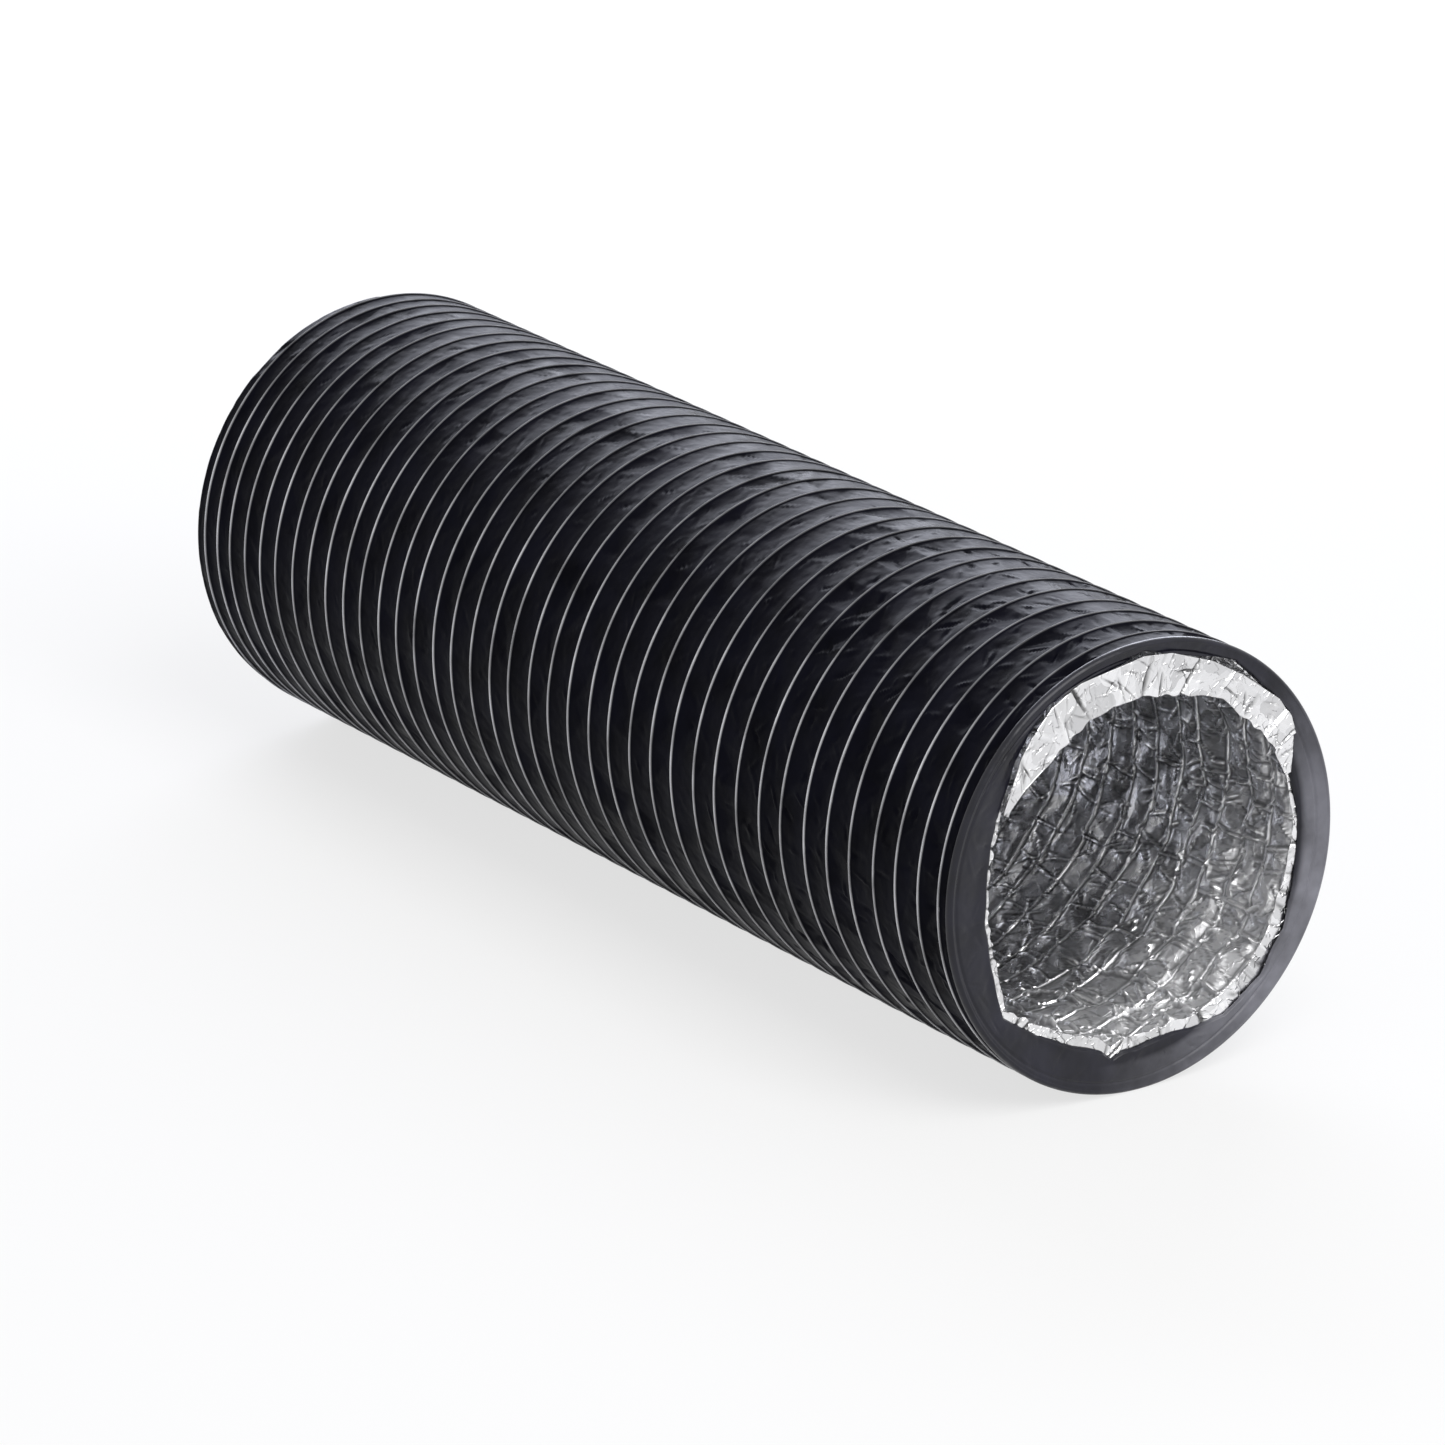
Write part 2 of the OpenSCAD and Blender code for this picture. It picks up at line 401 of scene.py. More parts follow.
def lowness(angle):
    """1 along the bottom of the duct, falling to 0 along its top: 1/2 - 0.7 sin(angle), eased."""
    return ease(0.5 - 0.7 * np.sin(angle))


def lining_radius(x, angle):
    """Inner radius of the lining = band radius - ridge - panels and tents - folds. The relief grows towards
    the open end, and fades out at both ends, where the turned-in edges cover the lining."""
    ridge, puffed, sharp = lining_relief(x, angle)
    calm = ease((FRONT_X - x - SMOOTH_FRONT / 2) / SMOOTH_FRONT)
    calm *= ease((x - REAR_X - SMOOTH_REAR) / REAR_FADE)
    near = ease((x - FRONT_X + HANDLED_REACH) / RELIEF_FADE)
    low = near * lowness(angle)
    puffed = puffed * (PUFF_SHARES[0] + PUFF_SHARES[1] * near + PUFF_SHARES[2] * low)
    sharp = sharp * (SHARP_SHARES[0] + SHARP_SHARES[1] * low)
    return LINING_BAND_R - calm * ((LINING_BAND_R - LINING_RIDGE_R) * ridge + puffed + sharp)


def angle_of(points):
    """Angle of each point round the duct's axis, between 0 and 2 pi."""
    return np.arctan2(points[:, 2] - AXIS_Z, points[:, 1]) % (2 * np.pi)


def lining_handled_and_painted_light(points):
    """1 along the bottom of the open end, where the lining was pulled and pressed by hand, falling to 0 at
    the top and a hand's width inside. The same mask places painted light in the lining's tone."""
    return ease((points[:, 0] - FRONT_X + HANDLED_REACH) / TONE_FADE) * lowness(angle_of(points))


def lining_painted_light(points):
    """Painted light in the lining's tone: 1/2 on plain foil, more as a painted highlight on crests, less as
    painted shade in valleys: 1/2 + tone + gain times share times (mean radius of four points around - radius
    here). Tone and gain are greater along the bottom of the open end and overhead, as more painted light
    there."""
    x, angle = points[:, 0], angle_of(points)
    step = CREST_REACH / LINING_BAND_R
    around = (lining_radius(x - CREST_REACH, angle) + lining_radius(x + CREST_REACH, angle)
              + lining_radius(x, angle - step) + lining_radius(x, angle + step)) / 4
    risen = np.clip(CREST_PAINTED_LIGHT_SHARE * (around - lining_radius(x, angle)), *CREST_BOUNDS)
    # Painted light: the tone is raised along the bottom of the open end and overhead
    handled, overhead = lining_handled_and_painted_light(points), ease(0.3 + 0.8 * np.sin(angle))
    gain = 1 + MOUTH_PAINTED_GAIN * handled + OVERHEAD_PAINTED_GAIN * overhead
    return np.clip(0.5 + MOUTH_PAINTED_LIGHT * handled + OVERHEAD_PAINTED_LIGHT * overhead + risen * gain, 0, 1)


def triangles_of(a, b, c, d):
    """Two triangles for each quad of corner numbers, without those that have shrunk to a line."""
    faces = np.concatenate([np.stack([a, b, c], -1).reshape(-1, 3), np.stack([a, c, d], -1).reshape(-1, 3)])
    keep = (faces[:, 0] != faces[:, 1]) & (faces[:, 1] != faces[:, 2]) & (faces[:, 0] != faces[:, 2])
    return faces[keep]


def grid_faces(number):
    """The triangles of a grid of corner numbers."""
    return triangles_of(number[:-1, :-1], number[:-1, 1:], number[1:, 1:], number[1:, :-1])


def wound_surface(radius, first, last, rows, columns, sway=np.zeros_like):
    """A surface x, angle -> radius between the planes of two turns. Its rows follow the wire round, so that
    one runs along each rib, and are cut off at the planes: x = wire_x(row's turn + angle / 2 pi + sway).
    Returns the points, their outward normals, the triangles, and the rings of numbers at the planes."""
    per_turn, spare, hair = len(rows), 2, 1e-9
    low_row, high_row = (math.floor(first) - spare) * per_turn, (math.ceil(last) + spare) * per_turn
    row = np.arange(low_row, high_row + 1)
    row_turn = row // per_turn + np.asarray(rows)[row % per_turn]
    share = np.arange(columns) / columns
    before = np.floor(row_turn)[:, None] + share
    across = (row_turn % 1)[:, None]
    turn = row_turn[:, None] + share + (1 - across) * sway(before) + across * sway(before + 1)
    lowest = (turn <= first + hair).sum(0) - 1
    highest = (turn < last - hair).sum(0)
    number = np.clip(np.arange(len(row))[:, None], lowest, highest) * columns + np.arange(columns)
    following = np.clip(np.arange(len(row)) + per_turn, lowest[0], highest[0]) * columns
    number = np.concatenate([number, following[:, None]], 1)
    used, compact = np.unique(number, return_inverse=True)
    number = compact.reshape(number.shape)
    x = wire_x(np.clip(turn, first, last)).ravel()[used]
    angle = np.broadcast_to(2 * np.pi * share, turn.shape).ravel()[used]
    points, normals = tube_points(radius, x, angle)
    faces = grid_faces(number)
    return points, normals, faces, number[0, :-1], number[-1, :-1]


def tube_points(radius, x, angle):
    """Points on the surface x, angle -> radius at the given x and angle, and normals from its slopes."""
    step_x, step_angle = 0.00025, 0.004
    r = radius(x, angle)
    slope_x = (radius(x + step_x, angle) - radius(x - step_x, angle)) / (2 * step_x)
    slope_angle = (radius(x, angle + step_angle) - radius(x, angle - step_angle)) / (2 * step_angle) / r
    y_way, z_way = np.cos(angle), np.sin(angle)
    points = np.stack([x, r * y_way, AXIS_Z + r * z_way], 1)
    normals = np.stack([-slope_x, y_way + slope_angle * z_way, z_way - slope_angle * y_way], 1)
    normals /= np.linalg.norm(normals, axis=1)[:, None]
    resting = points[:, 2] < 0
    points[resting, 2] = 0
    normals[resting] = (0, 0, -1)
    return points, normals


def new_piece(name, points, faces, material, normals=None, attributes=None):
    """A smooth-shaded mesh object at the origin. Where a normal is given, it replaces the one that the faces
    give, so that a surface cut into pieces shades as one."""
    mesh = bpy.data.meshes.new(name)
    mesh.vertices.add(len(points))
    mesh.vertices.foreach_set("co", np.ascontiguousarray(points, np.float32).ravel())
    mesh.loops.add(3 * len(faces))
    mesh.loops.foreach_set("vertex_index", np.ascontiguousarray(faces, np.int32).ravel())
    mesh.polygons.add(len(faces))
    mesh.polygons.foreach_set("loop_start", np.arange(0, 3 * len(faces), 3, dtype=np.int32))
    mesh.update(calc_edges=True)
    mesh.polygons.foreach_set("use_smooth", np.ones(len(faces), bool))
    for key, values in (attributes or {}).items():
        mesh.attributes.new(key, "FLOAT", "POINT").data.foreach_set("value", values.astype(np.float32))
    if normals is not None:
        mesh.normals_split_custom_set_from_vertices(normals.tolist())
    mesh.materials.append(material)
    piece = bpy.data.objects.new(name, mesh)
    bpy.context.scene.collection.objects.link(piece)
    return piece


def plain_wall(radius, first, last, columns):
    """The hidden side of a wall: rings at the two planes and at each whole turn between them."""
    stops = np.concatenate([[first], np.arange(math.floor(first) + 1, math.ceil(last)), [last]])
    x = np.repeat(wire_x(stops), columns)
    angle = np.tile(2 * np.pi * np.arange(columns) / columns, len(stops))
    points = np.stack([x, radius * np.cos(angle), AXIS_Z + radius * np.sin(angle)], 1)
    number = np.arange(len(points)).reshape(len(stops), columns)
    number = np.concatenate([number, number[:, :1]], 1)
    faces = grid_faces(number)
    return points, faces, number[0, :-1], number[-1, :-1]


def wound_shell(name, radius, hidden_radius, first, last, rows, columns, material, inside=False, marks=None,
                sway=np.zeros_like):
    """A closed wall between a detailed surface and a plain hidden one, joined by a flat ring at each plane.
    The detailed surface is the outer one, or the inner one if inside is true."""
    shown, normals, shown_faces, shown_start, shown_end = wound_surface(
        radius, first, last, rows, columns, sway)
    hidden, hidden_faces, hidden_start, hidden_end = plain_wall(hidden_radius, first, last, columns)
    hidden_start, hidden_end = hidden_start + len(shown), hidden_end + len(shown)
    start = triangles_of(hidden_start, np.roll(hidden_start, -1), np.roll(shown_start, -1), shown_start)
    end = triangles_of(shown_end, np.roll(shown_end, -1), np.roll(hidden_end, -1), hidden_end)
    faces = np.concatenate([shown_faces, hidden_faces[:, ::-1] + len(shown), start, end])
    if inside:
        faces, normals = faces[:, ::-1], -normals
    attributes = {k: np.concatenate([f(shown), np.zeros(len(hidden))]) for k, f in (marks or {}).items()}
    normals = np.concatenate([normals, np.zeros_like(hidden)])
    return new_piece(name, np.concatenate([shown, hidden]), faces, material, normals, attributes)


FOIL_TINT = (0.985, 0.985, 1.0)
# What handling adds to the foil's roughness and to its metallic share
HANDLED_ROUGHNESS = 0.18
HANDLED_METALLIC = -0.16


def foil_material(name, dull, plain, bright, roughness, metallic, facets):
    """Aluminium foil: a metal whose roughness wanders a little. Its colour runs from dull to plain to bright
    where the attribute crest runs from 0 to 1/2 to 1, as painted shade in the folds' valleys and a painted
    highlight on their crests.
    It is rougher and less of a mirror where the attribute handled is 1, as fingers crumple it finely. A net
    of creases divides it into small facets, each tilted its own way: normal + the sum over all sizes of cell
    of tilt times (the cell's random vector - 1/2), with a broken raised line along the cells' edges. facets
    holds (cells per metre, tilt, line height)."""
    material, tree = new_material(name)
    place = add_node(tree, "TexCoord").outputs["Object"]
    clouds = add_node(tree, "TexNoise", {"Vector": place, "Scale": 95, "Detail": 3})
    rough = remap(tree, clouds, (0.3, 0.7), roughness)
    handled = add_node(tree, "Attribute", attribute_name="handled").outputs["Fac"]
    rougher = add_node(tree, "Math", {0: handled, 1: HANDLED_ROUGHNESS, 2: rough},
                       operation="MULTIPLY_ADD")
    paler = add_node(tree, "Math", {0: handled, 1: HANDLED_METALLIC, 2: metallic},
                     operation="MULTIPLY_ADD")
    crest = add_node(tree, "Attribute", attribute_name="crest").outputs["Fac"]
    tone = add_node(tree, "ValToRGB", {"Fac": crest})
    tone.color_ramp.elements[0].color = (*[dull * c for c in FOIL_TINT], 1)
    tone.color_ramp.elements[1].color = (*[bright * c for c in FOIL_TINT], 1)
    tone.color_ramp.elements.new(0.5).color = (*[plain * c for c in FOIL_TINT], 1)
    warped = add_node(tree, "Mix", {"Factor": 0.012, "A": place, "B": clouds.outputs["Color"]},
                      data_type="VECTOR").outputs["Result"]
    shades = add_node(tree, "TexVoronoi", {"Vector": warped, "Scale": facets[0][0] * 1.3})
    shade = remap(tree, shades.outputs["Color"], (0, 1), (0.72, 1.22))
    colour = add_node(tree, "VectorMath", {0: tone, "Scale": shade}, operation="SCALE")
    normal = add_node(tree, "NewGeometry").outputs["Normal"]
    for scale, tilt, line in facets:
        cells = add_node(tree, "TexVoronoi", {"Vector": warped, "Scale": scale}).outputs["Color"]
        lean = add_node(tree, "VectorMath", {0: cells, 1: (tilt,) * 3, 2: (-tilt / 2,) * 3},
                        operation="MULTIPLY_ADD")
        tilted = add_node(tree, "VectorMath", {0: normal, 1: lean}, operation="ADD")
        unit = add_node(tree, "VectorMath", {0: tilted}, operation="NORMALIZE")
        edges = add_node(tree, "TexVoronoi", {"Vector": warped, "Scale": scale},
                         feature="DISTANCE_TO_EDGE")
        raised = remap(tree, edges, (0, 0.07), (1, 0), interpolation_type="SMOOTHSTEP")
        gaps = add_node(tree, "TexNoise", {"Vector": place, "Scale": scale * 1.3, "Detail": 0})
        kept = remap(tree, gaps, (0.45, 0.60), (0, 1))
        broken = add_node(tree, "Math", {0: raised, 1: kept}, operation="MULTIPLY")
        normal = add_node(tree, "Bump", {"Distance": line, "Height": broken, "Normal": unit})
    set_surface(tree, add_node(tree, "BsdfPrincipled", {
        "Base Color": colour, "Roughness": rougher, "Metallic": paler, "Normal": normal}))
    return material


# Its plain tone is darker than that of the edge and flap, the same foil, as painted shade inside the tube
lining_foil_painted_shade = foil_material("lining_foil_painted_shade", 0.06, 0.46, 0.99, (0.21, 0.33), 0.92,
                            ((130, 0.07, 0.0001), (300, 0.08, 0.00006)))

# Every second joint stretches the duct over four turns, and the ones between bend it over two.
SECTION_TURNS = 3
JOINTS = TURNS // SECTION_TURNS - 1
STRETCH_HALF_ZONE = 2
BEND_HALF_ZONE = 1
# How far inside the two ends the wound pieces stop
REAR_INSET = 0.0006
FRONT_INSET = 0.0012
zones = []
for joint in range(1, JOINTS + 1):
    half_zone = STRETCH_HALF_ZONE if joint % 2 else BEND_HALF_ZONE
    zones.append((SECTION_TURNS * joint - half_zone, SECTION_TURNS * joint + half_zone))
rear_turn = float(turn_at(REAR_X + REAR_INSET))
front_turn = float(turn_at(FRONT_X - FRONT_INSET))


def reach(joint):
    """The part of the duct, in turns, that the pieces round one joint cover: from one zone to the next."""
    return (rear_turn if joint == 1 else zones[joint - 1][0],
            front_turn if joint == JOINTS else zones[joint - 1][1])


def bend_across(piece, joint, node):
    """Bakes the piece's transform and hides its section's node in the model, and at the last joint the next
    one too, so that the piece stands in for them.
    """
    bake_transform(piece)
    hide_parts(f"{node}_{joint}")
    if joint == JOINTS:
        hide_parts(f"{node}_{joint + 1}")


for joint in range(1, JOINTS + 1):
    lining = wound_shell(f"foil_lining_{joint:02d}", lining_radius, LINING_OUTER_R, *reach(joint),
                         LINING_ROWS, LINING_COLUMNS if joint >= FIRST_SEEN else DEEP_COLUMNS, lining_foil_painted_shade,
                         inside=True, marks={"crest": lining_painted_light, "handled": lining_handled_and_painted_light},
                         sway=ridge_sway)
    bend_across(lining, joint, "foil_liner")

# ------------ spring wire
# One length of hard-drawn steel wire, wound over the lining and sealed under the outer film. It holds the
# duct open and springs back when the duct is pulled out.
WIRE_R = 0.0006
WIND_R = 0.0780
WIRE_SIDES = 8
WIRE_RINGS = 60


def wire_tube(first, last):
    """A round tube carried along the helix x = wire_x(turn), angle = 2 pi turn, with a fan over each end."""
    turn = np.linspace(first, last, int(round((last - first) * WIRE_RINGS)) + 1)[:, None]
    side = 2 * np.pi * np.arange(WIRE_SIDES)[None, :] / WIRE_SIDES
    r = WIND_R + WIRE_R * np.cos(side)
    x = wire_x(turn) + WIRE_R * np.sin(side)
    angle = 2 * np.pi * turn + 0 * side
    points = np.stack([x, r * np.cos(angle), AXIS_Z + r * np.sin(angle)], -1).reshape(-1, 3)
    number = np.arange(len(points)).reshape(len(turn), WIRE_SIDES)
    number = np.concatenate([number, number[:, :1]], 1)
    faces = [triangles_of(number[:-1, :-1], number[1:, :-1], number[1:, 1:], number[:-1, 1:])]
    fan = np.arange(1, WIRE_SIDES - 1)
    for ring, way in ((number[0], 1), (number[-1], -1)):
        faces.append(np.stack([np.full_like(fan, ring[0]), ring[fan], ring[fan + 1]], 1)[:, ::way])
    return points, np.concatenate(faces)


steel, tree = new_material("spring_steel")
steel_place = add_node(tree, "TexCoord").outputs["Object"]
steel_noise = add_node(tree, "TexNoise", {"Vector": steel_place, "Scale": 900})
steel_rough = remap(tree, steel_noise, (0, 1), (0.22, 0.5))
set_surface(tree, add_node(tree, "BsdfPrincipled", {
    "Metallic": 1.0, "Base Color": (0.42, 0.42, 0.44, 1), "Roughness": steel_rough}))

for joint in range(1, JOINTS + 1):
    first, last = reach(joint)
    wire_points, wire_faces = wire_tube(max(first, 0), min(last, TURNS))
    wire = new_piece(f"spring_wire_coil_{joint:02d}", wire_points, wire_faces, steel)
    bend_across(wire, joint, "spring_wire")

# ------------ outer film
# Black film is wound over the wire and glued to the lining, so each turn of the wire stands up as a rib.
# Between the ribs it sinks in and is dented into flat panels, and along the ribs a pale painted highlight is
# drawn into its colour.
FILM_INNER_R = 0.0761
FILM_CREST_R = CREST_R - 0.0001
FILM_FOOT_R = 0.0789
FILM_LEAST_R = 0.0763
FILM_SAG = 0.0002
RIB_HALF_WIDTH = 0.00056
RIB_POWER = 2.6
# Half width of the pale painted highlight along each rib
RIB_HIGHLIGHT_HALF_WIDTH = 0.00044
RIM_ROUND = 0.0018
FILM_SEED = 5
# Columns of the pieces near the open end, where the film is crumpled most, and of the others
FRONT_COLUMNS = 640
FILM_COLUMNS = 400
FIRST_CRUMPLED = 10
FILM_ROWS = (0, 0.02, 0.045, 0.07, 0.10, 0.14, 0.20, 0.27, 0.34, 0.41, 0.48, 0.55, 0.62, 0.69, 0.76, 0.82,
             0.87, 0.905, 0.935, 0.958, 0.98)
PANELS_PER_TURN = 26
PANEL_DEPTH = 0.0004
PANEL_POWER = 0.7
# Share of the places that have a dent, and the bounds of a dent's depth, middle, half length and lean
DENTS_PER_TURN = 24
DENT_DEPTH = 0.0014
DENT_SHARE = 0.42
DENT_BOUNDS = ((0.4, 1), (0.45, 0.85), (0.25, 0.6), (-0.5, 0.5))
DENT_POWER = 1.4
# Small folds, with bounds like the lining's folds, and the seeds of their two layers
CRUMPLES = (52, (0.001, 0.011), (-1.4, 1.4), (0.002, 0.006), (0.0009, 0.0019), (-0.0008, 0.0006))
CRUMPLE_SEEDS = (FILM_SEED + 30, FILM_SEED + 31)
# Share of the dents' and the crumples' depth at the rear, and what is added to it towards the open end
DENT_SHARES = (0.45, 0.65)
CRUMPLE_SHARES = (0.38, 0.72)
CRUMPLED_REACH = 0.19
CRUMPLED_FADE = 0.12


def panel_depth(laid, across, seed):
    """Flat panels with creases across the band: straight lines between random depths along each edge of the
    ribbon, with the creases of the two edges at different places, mixed across the band."""
    near_edge, far_edge = (kinked(laid, PANELS_PER_TURN, seed + edge, 0, 1) for edge in (0, 20))
    return near_edge * (1 - across) + far_edge * across


def dent_depth(laid, across, seed):
    """Scattered quadrilateral dents: pyramids along the ribbon, of which only a share is kept."""
    draw = np.random.default_rng(seed)
    count = (TURNS + 2 * SPARE_TURNS) * DENTS_PER_TURN
    place = np.arange(count) + draw.uniform(-STRAY, STRAY, count)
    kept = draw.uniform(0, 1, count) < DENT_SHARE
    depth, middle, half, lean = (draw.uniform(low, high, count) for low, high in DENT_BOUNDS)
    depth = np.where(kept, depth, 0)
    at = (laid + SPARE_TURNS) * DENTS_PER_TURN
    first = np.floor(at).astype(int)
    total = np.zeros_like(at)
    for step in NEIGHBOURS:
        i = np.clip(first + step, 0, count - 1)
        along = (at - place[i] + lean[i] * (across - 0.5)) / half[i]
        side = (across - middle[i]) / np.where(across < middle[i], middle[i], 1 - middle[i])
        total = np.maximum(total, depth[i] * (1 - np.maximum(np.abs(along), np.abs(side)) ** DENT_POWER))
    return total


def film_radius(x, angle):
    """Outer radius of the film = foot - sag between the ribs - panels, dents and crumples + the rib over the
    wire. Dents and crumples deepen towards the open end, and each end is rounded off."""
    laid, across, off = ribbon_at(x, angle)
    arch = np.sin(np.pi * across)
    rib = (FILM_CREST_R - FILM_FOOT_R) * np.exp(-np.abs(off / RIB_HALF_WIDTH) ** RIB_POWER)
    band = FILM_SAG * arch + PANEL_DEPTH * arch ** PANEL_POWER * panel_depth(laid, across, FILM_SEED)
    dented = DENT_SHARES[0] + DENT_SHARES[1] * ease(laid / TURNS)
    band += DENT_DEPTH * dented * dent_depth(laid, across, FILM_SEED + 1) * np.minimum(1, 3 * arch)
    crumples = sum(folds(laid, across * MID_PITCH, seed, *CRUMPLES) for seed in CRUMPLE_SEEDS)
    crumpled = CRUMPLE_SHARES[0] + CRUMPLE_SHARES[1] * ease((x - FRONT_X + CRUMPLED_REACH) / CRUMPLED_FADE)
    band -= crumples * np.minimum(1, 2 * arch) * crumpled
    to_end = np.minimum(x - REAR_X, FRONT_X - x)
    round_off = RIM_ROUND * (1 - np.sqrt(np.clip(1 - (1 - np.clip(to_end / RIM_ROUND, 0, 1)) ** 2, 0, 1)))
    return np.maximum(FILM_FOOT_R - band + rib, FILM_LEAST_R) - round_off


def painted_highlight(points):
    """A painted highlight along each rib: exp(-(distance from the rib / half width) squared), with less of
    it on top.
    """
    angle = angle_of(points)
    off = ribbon_at(points[:, 0], angle)[2]
    return np.exp(-(off / RIB_HIGHLIGHT_HALF_WIDTH) ** 2) * (1 - 0.6 * ease((np.sin(angle) - 0.45) / 0.4))


def film_material(name, colour, painted_highlight_colour, gloss):
    """Soft black plastic film: low gloss with cloudy smudges, small puckers and fine orange peel, and a pale
    painted highlight where its highlight attribute is 1."""
    material, tree = new_material(name)
    place = add_node(tree, "TexCoord").outputs["Object"]
    smudge = add_node(tree, "TexNoise", {"Vector": place, "Scale": 60, "Detail": 5})
    rough = remap(tree, smudge, (0.3, 0.7), (0.26, 0.42))
    # The highlight attribute mixes the pale painted highlight colour into the film's colour
    crest = add_node(tree, "Attribute", attribute_name="painted_highlight").outputs["Fac"]
    highlight_share = remap(tree, crest, (0.1, 0.95), (0, 1))
    tone = add_node(tree, "Mix", {"Factor": highlight_share, "A": colour, "B": painted_highlight_colour}, data_type="RGBA")
    cloud = remap(tree, smudge, (0.3, 0.7), (0.55, 1.45))
    clouded = add_node(tree, "VectorMath", {0: tone.outputs["Result"], "Scale": cloud},
                       operation="SCALE")
    puckers = add_node(tree, "TexNoise", {"Vector": place, "Scale": 170, "Detail": 1})
    pucker = add_node(tree, "Bump",
                      {"Height": puckers, "Strength": 0.6, "Distance": 0.0007})
    grain = add_node(tree, "TexNoise", {"Vector": place, "Scale": 420, "Detail": 3})
    bump = add_node(tree, "Bump", {
        "Height": grain, "Normal": pucker, "Strength": 0.25, "Distance": 0.0003})
    set_surface(tree, add_node(tree, "BsdfPrincipled", {
        "Base Color": clouded, "Roughness": rough, "Specular IOR Level": gloss, "Normal": bump}))
    return material


# The second colour is the pale painted highlight along the ribs
black_film = film_material("black_film", (0.0035, 0.0036, 0.0068, 1), (0.62, 0.62, 0.64, 1), 0.018)
for joint in range(1, JOINTS + 1):
    film = wound_shell(f"film_sleeve_{joint:02d}", film_radius, FILM_INNER_R, *reach(joint),
                       FILM_ROWS, FRONT_COLUMNS if joint >= FIRST_CRUMPLED else FILM_COLUMNS, black_film,
                       marks={"painted_highlight": painted_highlight})
    bend_across(film, joint, "outer_film")

# ------------ rear cuff
# At the rear the black film is folded round the cut end of the lining and tucked inside the duct, as a short
# cuff that its own stiffness holds against the foil.
CUFF_DEPTH = 0.020
CUFF_WALL = 0.0004
CUFF_TUCKED_R = 0.0752
CUFF_BEND_R = 0.0012
CUFF_FACE_WIDTH = 0.0010
CUFF_SAG = 0.0006
CUFF_WAVE = 0.00025
CUFF_WAVES = 9
CUFF_COLUMNS = 240
# Rings of points along the tucked part, round the bend and over the end
CUFF_RINGS = (26, 12, 8)


def angle_row(columns):
    """The angles of so many columns round the duct, as one row."""
    return 2 * np.pi * np.arange(columns)[None, :] / columns


def ring_shell(x, r, angle, wall):
    """A closed ring of film or foil. x and r are arrays of (points along its profile, angles). The hidden
    side lies one wall behind a profile that runs inwards, and further out where it runs to the rear."""
    along_x, along_r = np.gradient(x, axis=0), np.gradient(r, axis=0)
    length = np.hypot(along_x, along_r)
    back_x, back_r = x + wall * along_r / length, r - wall * along_x / length
    x, r = np.concatenate([x, back_x[::-1]]), np.concatenate([r, back_r[::-1]])
    points = np.stack([x, r * np.cos(angle), AXIS_Z + r * np.sin(angle)], -1).reshape(-1, 3)
    points[:, 2] = np.maximum(points[:, 2], 0)
    return points, np.arange(len(points)).reshape(x.shape)


def closed_faces(number, around):
    """Faces of a ring shell: its profile closes on itself, and its angles do too if around is true, or else
    each end is closed by a strip across the wall."""
    profile = np.concatenate([number, number[:1]])
    if around:
        profile = np.concatenate([profile, profile[:, :1]], 1)
    faces = [grid_faces(profile)]
    if not around:
        half = len(number) // 2
        for ring, way in ((number[:, 0], -1), (number[:, -1], 1)):
            front, back = ring[:half], ring[half:][::-1]
            faces.append(triangles_of(front[:-1], back[:-1], back[1:], front[1:])[:, ::way])
    return np.concatenate(faces)


def ring_piece(name, x, r, angle, wall, material, around=True, marks=None):
    """A ring shell as a piece. Its hidden side has the same marks as its profile."""
    points, number = ring_shell(x, r, angle, wall)
    attributes = {key: np.concatenate([mark, mark[::-1]]).ravel() for key, mark in (marks or {}).items()}
    return new_piece(name, points, closed_faces(number, around), material, attributes=attributes)


angle = angle_row(CUFF_COLUMNS)
tuck = np.linspace(1, 0, CUFF_RINGS[0])[:, None]
bend = np.linspace(0, 1, CUFF_RINGS[1])[1:, None] * np.pi / 2
over = np.linspace(0, 1, CUFF_RINGS[2])[1:, None]
tucked_r = (CUFF_TUCKED_R - CUFF_SAG * np.sin(np.pi * tuck)
            + CUFF_WAVE * tuck * np.sin(CUFF_WAVES * angle + 3 * tuck))
rim_bend_x, rim_bend_r = CUFF_BEND_R * (1 - np.sin(bend)), CUFF_BEND_R * (1 - np.cos(bend))
cuff_x = np.concatenate([CUFF_BEND_R + (CUFF_DEPTH - CUFF_BEND_R) * tuck, rim_bend_x, 0 * over])
cuff_x = cuff_x + REAR_X + 0 * angle
cuff_r = np.concatenate([tucked_r, CUFF_TUCKED_R + rim_bend_r + 0 * angle,
                         CUFF_TUCKED_R + CUFF_BEND_R + CUFF_FACE_WIDTH * over + 0 * angle])
cuff_film = film_material("cuff_film", (0.010, 0.010, 0.014, 1), (0.27, 0.27, 0.28, 1), 0.1)
cuff = ring_piece("rear_cuff", cuff_x, cuff_r, angle, CUFF_WALL, cuff_film)
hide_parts("rear_film_cuff")
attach(cuff, "section_1")

# ------------ front hem
# At the open end the film is turned over the last wire and folded in across the mouth as a flat hem, pressed
# down by hand, so its inner edge runs in straight stretches with a corner where it was tucked.
HEM_COLUMNS = 480
HEM_WALL = 0.0005
# Rings of points round the rim and across the face
RIM_RINGS = 14
FACE_RINGS = 44
# The rim's bend: its sizes along X and across, and how far its middle lies from the open end and the crests
RIM_BEND = (0.0018, 0.0015)
RIM_MIDDLE = (0.0020, 0.0016)
# The crease that runs round the face: its mean radius, how far it strays, its half width and its depth
CREASE_R = 0.0748
CREASE_STRAY = 0.0018
CREASE_HALF_WIDTH = 0.0005
CREASE_DEPTH = 0.0004
